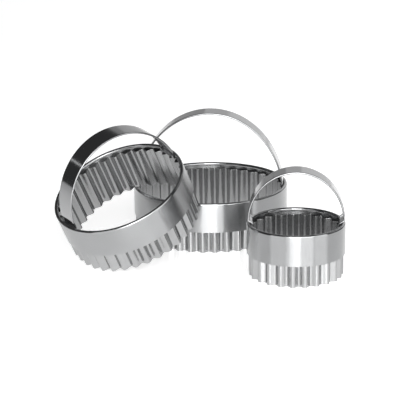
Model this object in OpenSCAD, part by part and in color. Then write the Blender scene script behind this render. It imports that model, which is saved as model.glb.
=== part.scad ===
// Set of three fluted biscuit cutters in polished sheet steel.
// Each cutter is a smooth collar with an inward rolled bead, a fluted
// cutting ring inside it, and a flat strap handle whose feet step in past
// the bead and are spot welded to the collar. The long edges of each strap
// are folded under. The large cutter stands, the medium one leans on its rim
// and the small one stands in front.
// Millimetres, Z up, the floor at Z = 0.

/* [Large cutter] */
// Outer diameter of the collar
large_d = 88; // [84:0.5:92]
// Number of flutes around the ring
large_flutes = 39; // [36:1:44]
// Half width of the oval of the handle arch
large_arch_r = 42.2; // [41.5:0.1:42.6]
// Half height of the oval of the handle arch
large_arch_h = 48; // [46:0.1:50]
// Height of the oval's centre above the rim, negative when below it
large_arch_rise = -6; // [-8:0.1:-4]
// Sideways offset of the arch
large_arch_shift = 0.15; // [-0.5:0.05:0.5]
// Direction of the handle seen from above
large_handle_turn = -4.8; // [-10:0.1:10]
// Direction of one flute crest
large_flute_turn = 3.95; // [0:0.05:9.2]
// Share of a flute by which the flutes drift along the ring
large_flute_drift = 0.1; // [0:0.01:0.15]

/* [Medium cutter] */
// Outer diameter of the collar
medium_d = 74.4; // [72:0.2:75]
// Number of flutes around the ring
medium_flutes = 34; // [30:1:36]
// Half width of the oval of the handle arch
medium_arch_r = 35; // [34.4:0.1:35.6]
// Half height of the oval of the handle arch
medium_arch_h = 36.8; // [35.5:0.1:38]
// Height of the oval's centre above the rim, negative when below it
medium_arch_rise = -4.4; // [-5.5:0.1:-3]
// Sideways offset of the arch
medium_arch_shift = 0.55; // [0:0.05:1]
// Direction of the handle seen from above
medium_handle_turn = 165.4; // [162:0.1:170]
// Direction of one flute crest
medium_flute_turn = 10.1; // [0:0.1:10.5]

/* [Small cutter] */
// Outer diameter of the collar
small_d = 52.5; // [50:0.5:56]
// Number of flutes around the ring
small_flutes = 24; // [22:1:28]
// Half width of the oval of the handle arch
small_arch_r = 25.7; // [25:0.1:26]
// Half height of the oval of the handle arch
small_arch_h = 26.9; // [26:0.1:28]
// Height of the oval's centre above the rim, negative when below it
small_arch_rise = 1.65; // [0:0.05:2.5]
// Sideways offset of the arch
small_arch_shift = 0.05; // [-0.3:0.05:0.3]
// Direction of the handle seen from above
small_handle_turn = -2.4; // [-10:0.1:10]
// Direction of one flute crest
small_flute_turn = 7.85; // [0:0.05:15]

/* [Sheet and rim] */
// Height of a cutter without its handle
cutter_h = 28.5; // [26:0.5:32]
// How far the fluted ring stands out below the collar
blade_drop = 11.8; // [9:0.2:13]
// Distance from the rim down to the top of the fluted ring
blade_sunk = 3.7; // [3.4:0.1:4.5]
// Thickness of the collar and ring sheet
sheet_t = 0.4; // [0.35:0.05:0.5]
// Diameter of the rolled bead
bead_d = 2.1; // [1.7:0.1:2.3]
// Radial depth of a flute, crest to trough
flute_depth = 2.6; // [2.2:0.1:2.8]

/* [Handle strap] */
// Width of the strap
strap_w = 12.5; // [10:0.5:13]
// Thickness of the strap sheet
strap_t = 0.5; // [0.4:0.05:0.6]
// Width of the folded edges of the strap
hem_w = 2.2; // [1.6:0.1:2.6]
// Length of the foot below the rim
foot_len = 10; // [8:0.5:12]

/* [Spot welds] */
// Diameter of a weld spot
weld_d = 1.8; // [1.4:0.1:2.2]

/* [Hidden] */
large_x = 6.1;
large_y = 0;
small_x = 50.7;
small_y = -77.1;
medium_x = -35.3;
medium_y = -44.5;
// angle of the leaning cutter from upright, and the way it leans
lean = 27.2;
lean_way = 226.9;
fit_gap = 0.02;
// lifts the leaning cutter so that its low edge meets the floor
lean_z = sin(lean) * max([for (a = [-24 : 0.1 : 24])
    ring_side(a, sheet_t / 2, medium_d, medium_flutes, medium_flute_turn, medium_handle_turn, 0)[0]]);
// moves the whole set so that the middle of its footprint is the origin
set_x = -1.156;
set_y = -29.675;

per_flute = 8;
// how the strap steps in past the bead
leg_down = 0.6;
step_top = 1.3;
step_low = 1.7;
step_end = -0.6;
ledge_z = cutter_h - bead_d - 0.25;
collar_z = blade_drop;
blade_top = cutter_h - blade_sunk;

steel = [0.78, 0.79, 0.80];
strap_steel = [0.70, 0.71, 0.73];
weld_steel = [0.60, 0.61, 0.63];

// where each cutter stands
module at_large() { translate([large_x - set_x, large_y - set_y, 0]) children(); }
module at_small() { translate([small_x - set_x, small_y - set_y, 0]) children(); }
module at_medium() {
    translate([medium_x - set_x, medium_y - set_y, lean_z])
        rotate([0, 0, lean_way]) rotate([0, lean, 0]) children();
}

// half angle of a handle foot on a wall of radius r
function foot_half(r) = asin(strap_w / 2 / r);
// 1 in the sector of a handle foot, easing to 0 beside it
function ease(x) = x <= 0 ? 0 : x >= 1 ? 1 : x * x * (3 - 2 * x);
function off_axis(a, turn) = let (d = abs(((a - turn) % 180 + 180) % 180)) min(d, 180 - d);
function tuck(a, turn, r) = 1 - ease((off_axis(a, turn) - foot_half(r) - 1.5) * r / 57.3 / 4);

// direction in which the flutes stand at the even division a, with their drift
function flute_at(a, n, drift) = a - drift * 360 / n * sin(a - drift * 360 / n * sin(a));
// radius of the middle of the ring sheet at angle a, rounded crests and troughs
function ring_r(a, d, n, first, turn, drift) =
    let (rin = d / 2 - sheet_t, amp = (flute_depth - sheet_t) / 2)
    rin - fit_gap - sheet_t / 2 - amp + amp * cos(n * (a - first) + 360 * drift * sin(a))
        - (strap_t + fit_gap) * tuck(a, turn, rin);
function ring_p(a, d, n, first, turn, drift) =
    ring_r(a, d, n, first, turn, drift) * [cos(a), sin(a)];
function unit(v) = v / norm(v);
// a point of the ring sheet moved sideways by s
function ring_side(a, s, d, n, first, turn, drift) =
    let (t = unit(ring_p(a + 0.05, d, n, first, turn, drift)
                - ring_p(a - 0.05, d, n, first, turn, drift)))
    ring_p(a, d, n, first, turn, drift) + s * [t[1], -t[0]];

// fluted ring: one strip bent round, its two ends butted at a trough
module fluted_ring(d, n, first, turn, drift = 0) {
    steps = n * per_flute;
    a0 = first + 180 / n;
    nick = 0.12;
    function at(i) = flute_at(a0 + i * 360 / steps, n, drift) + (i == 0 ? nick : i == steps ? -nick : 0);
    linear_extrude(height = blade_top)
        polygon(concat(
            [for (i = [0 : steps]) ring_side(at(i), sheet_t / 2, d, n, first, turn, drift)],
            [for (i = [steps : -1 : 0]) ring_side(at(i), -sheet_t / 2, d, n, first, turn, drift)]));
}

// collar band with the bead rolled inward along its upper edge
module collar(d) {
    r = d / 2;
    b = bead_d / 2;
    rotate_extrude($fn = 180)
        union() {
            translate([r - sheet_t, collar_z])
                square([sheet_t, cutter_h - b - collar_z]);
            difference() {
                translate([r - b, cutter_h - b]) circle(r = b, $fn = 48);
                translate([r - b, cutter_h - b]) circle(r = b - sheet_t, $fn = 48);
                // the roll stops just short of the wall
                translate([r - b, cutter_h - bead_d - 0.2])
                    square([b - sheet_t, 0.65]);
            }
        }
}

// one point of a cubic curve
function bez(t, a, b, c, d) =
    pow(1 - t, 3) * a + 3 * t * pow(1 - t, 2) * b + 3 * t * t * (1 - t) * c + t * t * t * d;

// height above the rim at which the arch ends and the leg begins
function leg_start(rise) = max(3.2, rise);
// place on the oval at which the leg begins
function arch_end(rh, rise) = asin((leg_start(rise) - rise) / (rh - strap_t / 2));
function arch_p(a, ra, rh, rise, shift) =
    [(ra - strap_t / 2) * cos(a) + shift, cutter_h + rise + (rh - strap_t / 2) * sin(a)];
// middle of the leg where it passes the bead, measured along the strap's plane
function leg_x(d, ra, rh, rise, shift) =
    min(arch_p(arch_end(rh, rise), ra, rh, rise, shift)[0],
        sqrt(pow(d / 2 - bead_d, 2) - pow(strap_w / 2, 2)) - 0.1 - strap_t / 2);

// middle line of one leg: down from the arch end, then stepped in past the bead
function leg_line(d, ra, rh, rise, shift) =
    let (up = arch_end(rh, rise), m = 12,
         p0 = arch_p(up, ra, rh, rise, shift),
         way = unit([(ra - strap_t / 2) * sin(up), -(rh - strap_t / 2) * cos(up)]),
         q0 = p0 + leg_down * way,
         p3 = [leg_x(d, ra, rh, rise, shift), cutter_h + step_end],
         p1 = q0 + step_top * way, p2 = p3 + [0, step_low])
    concat([for (i = [0 : m]) bez(i / m, q0, p1, p2, p3)],
           [[p3[0], ledge_z - strap_t]]);

// middle line of the whole strap: right leg upward, arch, left leg downward
function strap_line(d, ra, rh, rise, shift) =
    let (right = leg_line(d, ra, rh, rise, shift), left = leg_line(d, ra, rh, rise, -shift),
         up = arch_end(rh, rise), k = 64)
    concat([for (i = [len(right) - 1 : -1 : 0]) right[i]],
           [for (i = [0 : k]) arch_p(up + (180 - 2 * up) * i / k, ra, rh, rise, shift)],
           [for (p = left) [-p[0], p[1]]]);

// profile of the strap seen along its width, between two distances from its
// middle line; low cuts both ends off square at that height
module strap_profile(line, s0, s1, low) {
    n = len(line) - 1;
    function along(i) = i == 0 || i == n ? [0, i == 0 ? 1 : -1]
        : unit(unit(line[i + 1] - line[i]) + unit(line[i] - line[i - 1]));
    function side(i, s) = line[i] + s * [along(i)[1], -along(i)[0]];
    function cut(p, i) = i == 0 || i == n ? [p[0], low] : p;
    polygon(concat([for (i = [0 : n]) cut(side(i, s1), i)],
                   [for (i = [n : -1 : 0]) cut(side(i, s0), i)]));
}

// ledge under the bead and curved foot against the collar wall
module strap_foot(d, ra, rh, rise, shift) {
    rin = d / 2 - sheet_t;
    xin = leg_x(d, ra, rh, rise, shift);
    intersection() {
        translate([xin - strap_t / 2, -strap_w / 2, ledge_z - strap_t])
            cube([rin - xin + strap_t, strap_w, strap_t]);
        cylinder(r = rin, h = cutter_h, $fn = 180);
    }
    intersection() {
        difference() {
            translate([0, 0, cutter_h - foot_len])
                cylinder(r = rin, h = ledge_z - cutter_h + foot_len, $fn = 180);
            translate([0, 0, cutter_h - foot_len - 1])
                cylinder(r = rin - strap_t, h = foot_len + 2, $fn = 180);
        }
        translate([0, -strap_w / 2, 0]) cube([d, strap_w, cutter_h]);
    }
}

module handle(d, ra, rh, rise, shift, turn) {
    line = strap_line(d, ra, rh, rise, shift);
    rotate([0, 0, turn]) union() {
        // the sheet between the folded edges
        rotate([90, 0, 0]) linear_extrude(height = strap_w, center = true)
            strap_profile(line, -strap_t / 2, strap_t / 2, ledge_z - strap_t);
        // the folded edges, twice as thick, ending above the ledge
        for (q = [-1, 1]) translate([0, q * (strap_w - hem_w) / 2, 0])
            rotate([90, 0, 0]) linear_extrude(height = hem_w, center = true)
                strap_profile(line, -1.5 * strap_t, strap_t / 2, ledge_z + 0.1);
        strap_foot(d, ra, rh, rise, shift);
        mirror([1, 0, 0]) strap_foot(d, ra, rh, rise, -shift);
    }
}

// spots between the feet of the handle and the collar
module handle_welds(d, turn) {
    for (s = [0, 180]) for (a = [-1, 1])
        rotate([0, 0, turn + s + a * asin(3.4 / (d / 2))])
            translate([d / 2 - sheet_t - strap_t, 0, cutter_h - foot_len + 2.6])
                rotate([0, 90, 0]) cylinder(d = weld_d, h = sheet_t + strap_t - 0.05, $fn = 24);
}

// spots between flute crests and the collar, clear of the handle feet
module blade_welds(d, n, first, turn, drift = 0) {
    for (q = [0 : 7]) {
        a = first + round((turn + 36 + (q % 4) * 36 + floor(q / 4) * 180 - first) * n / 360) * 360 / n;
        rotate([0, 0, flute_at(a, n, drift)])
            translate([d / 2 - sheet_t - fit_gap - sheet_t, 0, collar_z + 3])
                rotate([0, 90, 0])
                    cylinder(d = weld_d - 0.6, h = 2 * sheet_t + fit_gap - 0.05, $fn = 24);
    }
}

module large_collar() { color(steel) at_large() collar(large_d); }
module large_fluted_blade() { color(steel) at_large() fluted_ring(large_d, large_flutes, large_flute_turn, large_handle_turn, large_flute_drift); }
module large_handle() { color(strap_steel) at_large() handle(large_d, large_arch_r, large_arch_h, large_arch_rise, large_arch_shift, large_handle_turn); }
module large_handle_welds() { color(weld_steel) at_large() handle_welds(large_d, large_handle_turn); }
module large_blade_welds() { color(weld_steel) at_large() blade_welds(large_d, large_flutes, large_flute_turn, large_handle_turn, large_flute_drift); }

module medium_collar() { color(steel) at_medium() collar(medium_d); }
module medium_fluted_blade() { color(steel) at_medium() fluted_ring(medium_d, medium_flutes, medium_flute_turn, medium_handle_turn); }
module medium_handle() { color(strap_steel) at_medium() handle(medium_d, medium_arch_r, medium_arch_h, medium_arch_rise, medium_arch_shift, medium_handle_turn); }
module medium_handle_welds() { color(weld_steel) at_medium() handle_welds(medium_d, medium_handle_turn); }
module medium_blade_welds() { color(weld_steel) at_medium() blade_welds(medium_d, medium_flutes, medium_flute_turn, medium_handle_turn); }

module small_collar() { color(steel) at_small() collar(small_d); }
module small_fluted_blade() { color(steel) at_small() fluted_ring(small_d, small_flutes, small_flute_turn, small_handle_turn); }
module small_handle() { color(strap_steel) at_small() handle(small_d, small_arch_r, small_arch_h, small_arch_rise, small_arch_shift, small_handle_turn); }
module small_handle_welds() { color(weld_steel) at_small() handle_welds(small_d, small_handle_turn); }
module small_blade_welds() { color(weld_steel) at_small() blade_welds(small_d, small_flutes, small_flute_turn, small_handle_turn); }

large_collar();
large_fluted_blade();
large_handle();
large_handle_welds();
large_blade_welds();
medium_collar();
medium_fluted_blade();
medium_handle();
medium_handle_welds();
medium_blade_welds();
small_collar();
small_fluted_blade();
small_handle();
small_handle_welds();
small_blade_welds();
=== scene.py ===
import math

import bpy
import numpy as np
from mathutils import Matrix, Vector


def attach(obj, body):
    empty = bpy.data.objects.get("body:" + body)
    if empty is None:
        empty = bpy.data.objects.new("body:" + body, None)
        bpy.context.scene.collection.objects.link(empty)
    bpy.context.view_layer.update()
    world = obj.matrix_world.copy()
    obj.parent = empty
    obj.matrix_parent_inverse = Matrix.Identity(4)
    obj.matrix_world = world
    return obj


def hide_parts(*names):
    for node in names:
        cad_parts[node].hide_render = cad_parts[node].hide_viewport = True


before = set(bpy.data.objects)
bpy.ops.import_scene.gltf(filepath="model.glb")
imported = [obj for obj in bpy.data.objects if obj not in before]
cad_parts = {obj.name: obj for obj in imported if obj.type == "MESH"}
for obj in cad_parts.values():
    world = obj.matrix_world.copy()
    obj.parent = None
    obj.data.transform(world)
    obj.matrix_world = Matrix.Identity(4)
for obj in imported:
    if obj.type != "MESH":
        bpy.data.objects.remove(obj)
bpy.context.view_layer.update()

scene = bpy.context.scene

# ---------------------------------------------------------------- dimensions, mm
H = 28.5
DROP = 11.8
SUNK = 3.7
T = 0.4
BEAD = 2.1
DEPTH = 2.6
SW = 12.5
ST = 0.5
HEM = 2.2
FOOT = 10.0
GAP = 0.02
LEDGE = H - BEAD - 0.25
LEAN, WAY = 27.2, 226.9
SETX, SETY = -1.156, -29.675


def place(x, y, z=0.0, lean=0.0, way=0.0):
    m = Matrix.Translation(((x - SETX) / 1000, (y - SETY) / 1000, z / 1000))
    if lean:
        m = m @ Matrix.Rotation(math.radians(way), 4, "Z") @ Matrix.Rotation(math.radians(lean), 4, "Y")
    return m


CUTTERS = {
    "large": dict(d=88.0, n=39, first=3.95, drift=0.1, ra=42.2, rh=48.0, rise=-6.0, shift=0.15, turn=-4.8),
    "medium": dict(d=74.4, n=34, first=10.1, drift=0.0, ra=35.0, rh=36.8, rise=-4.4, shift=0.55, turn=165.4),
    "small": dict(d=52.5, n=24, first=7.85, drift=0.0, ra=25.7, rh=26.9, rise=1.65, shift=0.05, turn=-2.4),
}


# ---------------------------------------------------------------- mesh helpers
def make(name, verts, faces, m, mat, body, corners, smooth=True, sharp=40.0):
    """corners: one (across, along) pair per face corner; the first runs along the section, the way the steel blurs."""
    me = bpy.data.meshes.new(name)
    v = np.asarray(verts, float) / 1000.0
    mm = np.array(m, float)
    v = v @ mm[:3, :3].T + mm[:3, 3]
    me.from_pydata(v.tolist(), [], faces)
    me.uv_layers.new(name="UVMap").data.foreach_set("uv", np.asarray(corners, float).ravel() / 100.0)
    me.validate()
    me.update()
    ob = bpy.data.objects.new(name, me)
    scene.collection.objects.link(ob)
    if smooth:
        me.polygons.foreach_set("use_smooth", [True] * len(me.polygons))
        me.set_sharp_from_angle(angle=math.radians(sharp))
    me.materials.append(mat)
    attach(ob, body)
    return ob


def lengths(pts):
    """Running length along a closed line of points, one more entry than points."""
    p = np.asarray(list(pts) + [pts[0]], float)
    return np.concatenate([[0], np.cumsum(np.linalg.norm(np.diff(p, axis=0), axis=1))])


def grid_faces(nu, nv, close_u=False, close_v=False, flip=False, along=None, across=None):
    fs, uv = [], []
    for i in range(nu if close_u else nu - 1):
        for j in range(nv if close_v else nv - 1):
            a = i * nv + j
            b = ((i + 1) % nu) * nv + j
            c = ((i + 1) % nu) * nv + (j + 1) % nv
            d = i * nv + (j + 1) % nv
            ua, ub, uc, ud = [(across[q], along[p]) for p, q in ((i, j), (i + 1, j), (i + 1, j + 1), (i, j + 1))]
            fs.append((a, d, c, b) if flip else (a, b, c, d))
            uv += [ua, ud, uc, ub] if flip else [ua, ub, uc, ud]
    return fs, uv


# ---------------------------------------------------------------- collar
def collar_profile(d):
    r, b = d / 2, BEAD / 2
    cx, cz = r - b, H - b
    e = 0.06
    p = [(r - T + e, DROP), (r - e, DROP), (r, DROP + e), (r, DROP + e + 0.1)]
    for k in range(1, 9):
        p.append((r, DROP + e + (cz - DROP - e) * k / 8))
    for a in np.linspace(0, 243, 30)[1:]:
        p.append((cx + b * math.cos(math.radians(a)), cz + b * math.sin(math.radians(a))))
    for a in np.linspace(243, 0, 26):
        p.append((cx + (b - T) * math.cos(math.radians(a)), cz + (b - T) * math.sin(math.radians(a))))
    for k in range(1, 8):
        p.append((r - T, cz + (DROP + e - cz) * k / 8))
    p += [(r - T, DROP + e + 0.1), (r - T, DROP + e)]
    return p


def collar(name, c, mat):
    prof = collar_profile(c["d"])
    n = 256
    verts = []
    for i in range(n):
        a = 2 * math.pi * i / n
        for (r, z) in prof:
            verts.append((r * math.cos(a), r * math.sin(a), z))
    along = [math.pi * c["d"] * i / n for i in range(n + 1)]
    faces, uv = grid_faces(n, len(prof), True, True, along=along, across=lengths(prof))
    return make(name, verts, faces, c["m"], mat, c["body"], uv)


# ---------------------------------------------------------------- fluted ring
def ease(x):
    x = min(max(x, 0.0), 1.0)
    return x * x * (3 - 2 * x)


def ring_r(a, c):
    rin = c["d"] / 2 - T
    amp = (DEPTH - T) / 2
    off = abs(((a - c["turn"]) % 180 + 180) % 180)
    off = min(off, 180 - off)
    tuck = 1 - ease((off - math.degrees(math.asin(SW / 2 / rin)) - 1.5) * rin / 57.3 / 4)
    w = math.cos(math.radians(c["n"] * (a - c["first"]) + 360 * c["drift"] * math.sin(math.radians(a))))
    return rin - GAP - T / 2 - amp + amp * w - (ST + GAP) * tuck


def lift(c):
    """Height of the leaning cutter's own origin when the low edge of its ring meets the floor."""
    def side(a):
        p, q = [ring_r(a + k, c) * np.array([math.cos(math.radians(a + k)), math.sin(math.radians(a + k))]) for k in (-0.05, 0.05)]
        t = (q - p) / np.linalg.norm(q - p)
        return ring_r(a, c) * math.cos(math.radians(a)) + T / 2 * t[1]
    return math.sin(math.radians(LEAN)) * max(side(a) for a in np.arange(-24, 24.05, 0.1))


CUTTERS["large"]["m"] = place(6.1, 0)
CUTTERS["medium"]["m"] = place(-35.3, -44.5, lift(CUTTERS["medium"]), LEAN, WAY)
CUTTERS["small"]["m"] = place(50.7, -77.1)


def ring(name, c, mat):
    per = 20
    n = c["n"] * per
    a0 = c["first"] + 180 / c["n"]
    slip = c["drift"] * 360 / c["n"]
    angs = []
    for i in range(n + 1):
        a = a0 + 360 * i / n
        angs.append(a - slip * math.sin(math.radians(a - slip * math.sin(math.radians(a)))))
    angs[0] += 0.12
    angs[-1] -= 0.12

    def pt(a):
        r = ring_r(a, c)
        return np.array([r * math.cos(math.radians(a)), r * math.sin(math.radians(a))])
    e = 0.07
    top = H - SUNK
    # rows close to both edges keep the shading of the tall sides straight
    zs = [0, e, e + 0.1] + [e + (top - 2 * e) * k / 6 for k in range(1, 6)] + [top - e - 0.1, top - e, top]
    loop = []
    # outer side up, top, inner side down, bottom: rounded by the e insets
    verts = []
    for a in angs:
        p = pt(a)
        t = pt(a + 0.04) - pt(a - 0.04)
        t /= np.linalg.norm(t)
        nrm = np.array([t[1], -t[0]])
        sec = []
        for k, z in enumerate(zs):
            s = T / 2 - (e if k in (0, len(zs) - 1) else 0)
            sec.append((s, z))
        for k, z in reversed(list(enumerate(zs))):
            s = T / 2 - (e if k in (0, len(zs) - 1) else 0)
            sec.append((-s, z))
        for (s, z) in sec:
            q = p + s * nrm
            verts.append((q[0], q[1], z))
    nv = 2 * len(zs)
    line = np.array([pt(a) for a in angs])
    along = np.concatenate([[0], np.cumsum(np.linalg.norm(np.diff(line, axis=0), axis=1))])
    faces, uv = grid_faces(len(angs), nv, False, True, along=along, across=lengths(sec))
    faces.append(tuple(range(nv - 1, -1, -1)))
    uv += [(z, q) for (q, z) in reversed(sec)]
    last = (len(angs) - 1) * nv
    faces.append(tuple(last + k for k in range(nv)))
    uv += [(z, q) for (q, z) in sec]
    return make(name, verts, faces, c["m"], mat, c["body"], uv, sharp=50)


# ---------------------------------------------------------------- strap handle
def arch_point(c, a, shift):
    return np.array([(c["ra"] - ST / 2) * math.cos(a) + shift, H + c["rise"] + (c["rh"] - ST / 2) * math.sin(a)])


def leg_path(c, side):
    """Points of the strap's middle line from the arch end down to the foot: (x, z, curved share)."""
    d = c["d"]
    up = math.asin((max(3.2, c["rise"]) - c["rise"]) / (c["rh"] - ST / 2))
    bead_in = math.sqrt((d / 2 - BEAD) ** 2 - (SW / 2) ** 2)
    start = arch_point(c, up, c["shift"] * side)
    xin = min(start[0], bead_in - 0.1 - ST / 2)
    way = np.array([(c["ra"] - ST / 2) * math.sin(up), -(c["rh"] - ST / 2) * math.cos(up)])
    way /= np.linalg.norm(way)
    p0 = start + 0.6 * way
    p3 = np.array([xin, H - 0.6])
    p1 = p0 + 1.3 * way
    p2 = p3 + np.array([0, 1.7])
    pts = []
    for i in range(0, 21):
        t = i / 20
        q = (1 - t) ** 3 * p0 + 3 * t * (1 - t) ** 2 * p1 + 3 * t * t * (1 - t) * p2 + t ** 3 * p3
        pts.append((q[0], q[1], 0.0))
    zl = LEDGE - ST / 2
    rw = d / 2 - T - ST / 2
    rb = 0.3
    pts.append((xin, zl + rb + 0.5, 0.0))
    for k in range(5):
        a = math.radians(90 * k / 4)
        pts.append((xin + rb - rb * math.cos(a), zl + rb - rb * math.sin(a), 0.0))
    x1 = rw
    for k in range(1, 5):
        f = k / 5
        pts.append((xin + rb + (x1 - rb - xin - rb) * f, zl, f))
    for k in range(5):
        a = math.radians(90 * k / 4)
        pts.append((x1 - rb + rb * math.sin(a), zl - rb + rb * math.cos(a), 1.0))
    for k in range(1, 5):
        pts.append((x1, zl - rb - (zl - rb - (H - FOOT)) * k / 4, 1.0))
    return pts


def strap_section(hem):
    """Outline of the strap across its width, (y, n), with the edges folded under by the share hem."""
    hw, ht = SW / 2, ST / 2
    et = ST * (1 + hem)
    r = et / 2 - 0.01
    fold = hw - HEM
    half = [(hw - r + r * math.sin(a), ht - r + r * math.cos(a)) for a in np.linspace(0.2, math.pi / 2, 6)]
    half += [(hw - r + r * math.sin(a), ht - et + r + r * math.cos(a)) for a in np.linspace(math.pi / 2, math.pi - 0.2, 6)]
    half += [(hw - r, ht - et), (hw - r - 0.1, ht - et), (fold + 0.2, ht - et), (fold + 0.06, ht - et), (fold, ht - et + 0.06 * hem),
             (fold - 0.02, -ht - 0.02 * hem), (fold - 0.08, -ht)]
    face = [(y, ht) for y in np.linspace(-(hw - r), hw - r, 15)]
    face = [face[0], (face[0][0] + 0.1, ht)] + face[1:-1] + [(face[-1][0] - 0.1, ht), face[-1]]
    under = [(y, -ht) for y in np.linspace(fold - 0.3, -(fold - 0.3), 9)]
    return face + half + under + [(-y, n) for y, n in reversed(half)]


def handle(name, c, mat):
    up = math.asin((max(3.2, c["rise"]) - c["rise"]) / (c["rh"] - ST / 2))
    arch = []
    for a in np.linspace(up, math.pi - up, 121):
        arch.append((*arch_point(c, a, c["shift"]), 0.0))
    right = leg_path(c, 1)
    left = [(-x, z, s) for (x, z, s) in leg_path(c, -1)]
    path = list(reversed(right)) + arch + left
    rw = c["d"] / 2 - T - ST / 2
    # the folded edges end just above the ledge
    hems = [1.0 if z > LEDGE + 0.12 and s == 0 else 0.0 for (x, z, s) in path]
    sections = {q: strap_section(q) for q in (0.0, 1.0)}
    sec = sections[1.0]
    P = np.array([(x, z) for x, z, s in path])
    S = np.array([s for x, z, s in path])
    tan = np.gradient(P, axis=0)
    tan /= np.linalg.norm(tan, axis=1)[:, None]
    # outward normal of a path that runs from right foot over the top to left foot
    nor = np.stack([tan[:, 1], -tan[:, 0]], 1)
    verts = []
    for i in range(len(P)):
        for (y, n) in sections[hems[i]]:
            x = P[i, 0] + n * nor[i, 0]
            z = P[i, 1] + n * nor[i, 1]
            if S[i] > 0:
                sg = 1 if P[i, 0] > 0 else -1
                x -= sg * S[i] * (rw - math.sqrt(rw * rw - y * y))
            verts.append((x, y, z))
    nv = len(sec)
    along = np.concatenate([[0], np.cumsum(np.linalg.norm(np.diff(P, axis=0), axis=1))])
    faces, uv = grid_faces(len(P), nv, False, True, flip=True, along=along, across=lengths(sec))
    flat = sections[0.0]
    faces.append(tuple(range(nv)))
    uv += list(flat)
    last = (len(P) - 1) * nv
    faces.append(tuple(last + k for k in range(nv - 1, -1, -1)))
    uv += list(reversed(flat))
    m = c["m"] @ Matrix.Rotation(math.radians(c["turn"]), 4, "Z")
    return make(name, verts, faces, m, mat, c["body"], uv, sharp=35)


# ---------------------------------------------------------------- materials
def steel(name, base, rough, var, scratch, scale, cloud=0.06, stretch=(1, 1, 1), blur=0.0, lay="Object", bead=None):
    mat = bpy.data.materials.new(name)
    mat.use_nodes = True
    nt = mat.node_tree
    nt.nodes.clear()
    out = nt.nodes.new("ShaderNodeOutputMaterial")
    bs = nt.nodes.new("ShaderNodeBsdfPrincipled")
    bs.inputs["Metallic"].default_value = 1.0
    nt.links.new(bs.outputs[0], out.inputs[0])
    if blur:
        bs.inputs["Anisotropic"].default_value = blur
        tg = nt.nodes.new("ShaderNodeTangent")
        tg.direction_type = "UV_MAP"
        tg.uv_map = "UVMap"
        nt.links.new(tg.outputs[0], bs.inputs["Tangent"])
    tc = nt.nodes.new("ShaderNodeTexCoord")
    mp = nt.nodes.new("ShaderNodeMapping")
    mp.inputs["Scale"].default_value = stretch
    nt.links.new(tc.outputs[lay], mp.inputs[0])
    # slow cloudiness of the polish
    n1 = nt.nodes.new("ShaderNodeTexNoise")
    n1.inputs["Scale"].default_value = 90
    n1.inputs["Detail"].default_value = 4
    nt.links.new(tc.outputs["Object"], n1.inputs["Vector"])
    # fine rubbing marks
    n2 = nt.nodes.new("ShaderNodeTexNoise")
    n2.inputs["Scale"].default_value = scale
    n2.inputs["Detail"].default_value = 6
    n2.inputs["Roughness"].default_value = 0.65
    nt.links.new(mp.outputs[0], n2.inputs["Vector"])
    mr = nt.nodes.new("ShaderNodeMapRange")
    mr.inputs["To Min"].default_value = max(0.02, rough - var)
    mr.inputs["To Max"].default_value = rough + var
    nt.links.new(n2.outputs[0], mr.inputs["Value"])
    if bead is None:
        nt.links.new(mr.outputs[0], bs.inputs["Roughness"])
    else:
        # the rolled bead is polished brighter than the wall below it
        sp = nt.nodes.new("ShaderNodeSeparateXYZ")
        nt.links.new(tc.outputs["UV"], sp.inputs[0])
        su = nt.nodes.new("ShaderNodeMath")
        su.operation = "SUBTRACT"
        su.inputs[1].default_value = 0.197
        nt.links.new(sp.outputs[0], su.inputs[0])
        ab = nt.nodes.new("ShaderNodeMath")
        ab.operation = "ABSOLUTE"
        nt.links.new(su.outputs[0], ab.inputs[0])
        wall = nt.nodes.new("ShaderNodeMapRange")
        wall.inputs["From Min"].default_value = 0.034
        wall.inputs["From Max"].default_value = 0.041
        nt.links.new(ab.outputs[0], wall.inputs["Value"])
        mx = nt.nodes.new("ShaderNodeMix")
        mx.inputs[2].default_value = bead
        nt.links.new(wall.outputs[0], mx.inputs[0])
        nt.links.new(mr.outputs[0], mx.inputs[3])
        nt.links.new(mx.outputs[0], bs.inputs["Roughness"])
    cr = nt.nodes.new("ShaderNodeValToRGB")
    cr.color_ramp.elements[0].position = 0.3
    cr.color_ramp.elements[1].position = 0.7
    lo = [x * (1 - cloud) for x in base]
    cr.color_ramp.elements[0].color = (*lo, 1)
    cr.color_ramp.elements[1].color = (*base, 1)
    nt.links.new(n1.outputs[0], cr.inputs[0])
    nt.links.new(cr.outputs[0], bs.inputs["Base Color"])
    bp = nt.nodes.new("ShaderNodeBump")
    bp.inputs["Strength"].default_value = scratch
    bp.inputs["Distance"].default_value = 0.00003
    nt.links.new(n2.outputs[0], bp.inputs["Height"])
    nt.links.new(bp.outputs[0], bs.inputs["Normal"])
    return mat


M_COLLAR = steel("polished_collar_steel", (0.36, 0.364, 0.368), 0.25, 0.03, 0.04, 900, stretch=(1, 1, 5), blur=0.95, bead=0.08)
M_RING = steel("fluted_steel", (0.375, 0.378, 0.381), 0.20, 0.03, 0.05, 900, stretch=(4, 4, 0.4), blur=0.9)
M_STRAP = steel("strap_steel", (0.35, 0.353, 0.358), 0.12, 0.04, 0.12, 420, stretch=(1, 0.02, 1), blur=0.4, lay="UV")
M_WELD = steel("weld_spot_steel", (0.50, 0.50, 0.51), 0.38, 0.08, 0.5, 2500, cloud=0.2)

for size, c in CUTTERS.items():
    c["body"] = size + "_cutter"
    o = collar(size + "_collar_rolled", c, M_COLLAR)
    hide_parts(size + "_collar")
    o = ring(size + "_fluted_ring", c, M_RING)
    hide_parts(size + "_fluted_blade")
    o = handle(size + "_strap", c, M_STRAP)
    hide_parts(size + "_handle")
    for k in ("_handle_welds", "_blade_welds"):
        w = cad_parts[size + k]
        w.data.materials.clear()
        w.data.materials.append(M_WELD)

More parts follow.
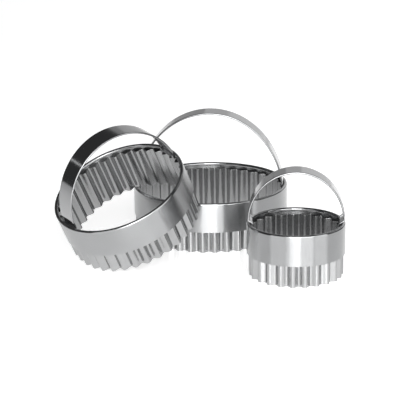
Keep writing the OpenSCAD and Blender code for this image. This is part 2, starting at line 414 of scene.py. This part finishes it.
# ---------------------------------------------------------------- floor, light, camera
mat = bpy.data.materials.new("pale_floor")
mat.use_nodes = True
b = mat.node_tree.nodes["Principled BSDF"]
b.inputs["Base Color"].default_value = (0.97, 0.97, 0.97, 1)
b.inputs["Roughness"].default_value = 0.06
b.inputs["Specular IOR Level"].default_value = 0.5
b.inputs["Emission Color"].default_value = (1, 1, 1, 1)
b.inputs["Emission Strength"].default_value = 0.62

me = bpy.data.meshes.new("floor")
s = 6.0
me.from_pydata([(-s, -s, 0), (s, -s, 0), (s, s, 0), (-s, s, 0)], [], [(0, 1, 2, 3)])
floor = bpy.data.objects.new("floor", me)
scene.collection.objects.link(floor)
me.materials.append(mat)


def card(name, az, el, radiance, dist=1.15):
    """Soft light panel facing the set: directions az and el in degrees, each a pair."""
    a, e = math.radians(sum(az) / 2), math.radians(sum(el) / 2)
    l = bpy.data.lights.new(name, "AREA")
    l.shape = "RECTANGLE"
    l.size = 2 * dist * math.cos(e) * math.tan(math.radians(az[1] - az[0]) / 2)
    l.size_y = 2 * dist * math.tan(math.radians(el[1] - el[0]) / 2)
    l.energy = math.pi * l.size * l.size_y * radiance
    o = bpy.data.objects.new(name, l)
    scene.collection.objects.link(o)
    to = Vector((math.cos(a) * math.cos(e), math.sin(a) * math.cos(e), math.sin(e)))
    o.location = Vector((0, 0, 0.03)) + dist * to
    o.rotation_mode = "QUATERNION"
    o.rotation_quaternion = (-to).to_track_quat("-Z", "Y")
    return o


card("front_line", (-95, -81), (10, 24), 3.7)
card("front_core", (-105, -80), (0, 42), 3.3)
card("front_wide", (-115, -50), (0, 42), 2.25)
card("front_near_right", (-87, -54), (10, 24), 2.6)
card("front_right", (-51, -18), (0, 42), 1.8)
card("front_left", (-150, -115), (0, 30), 1.25)
card("front_high", (-110, -60), (42, 66), 0.8)
# the back panels lie over one another, so the light fades from right to left
card("back_wide", (56, 124), (0, 38), 0.13)
card("back_mid", (56, 105), (0, 38), 0.22)
card("back_near", (56, 92), (0, 38), 0.24)
card("back_low_right", (56, 80), (0, 38), 0.25)
card("back_right", (38, 56), (0, 38), 0.5)
card("left_line", (149, 166), (24, 25.4), 1.3)
card("right_high", (0, 45), (24, 66), 0.4)

w = bpy.data.worlds.new("studio")
scene.world = w
w.use_nodes = True
bg = w.node_tree.nodes["Background"]
bg.inputs["Color"].default_value = (0.8, 0.8, 0.82, 1)
bg.inputs["Strength"].default_value = 0.08

U = 28.5 / 1000
f, pitch, D, hc, roll = 1636.85, 0.2909, 31.713, 10.1154, -0.0117
cam_d = bpy.data.cameras.new("camera")
cam_d.sensor_width = 36.0
cam_d.lens = f / 400 * 36
cam_d.clip_start, cam_d.clip_end = 0.05, 20
cam = bpy.data.objects.new("camera", cam_d)
scene.collection.objects.link(cam)
fw = Vector((0, math.cos(pitch), -math.sin(pitch)))
upv = Vector((0, math.sin(pitch), math.cos(pitch)))
rt = Vector((1, 0, 0))
rt2 = math.cos(roll) * rt + math.sin(roll) * upv
up2 = -math.sin(roll) * rt + math.cos(roll) * upv
R = Matrix((rt2, up2, -fw)).transposed()
cam.matrix_world = Matrix.Translation(Vector((0 - SETX / 1000, -D * U - SETY / 1000, hc * U))) @ R.to_4x4()
scene.camera = cam
scene.view_settings.view_transform = "Standard"
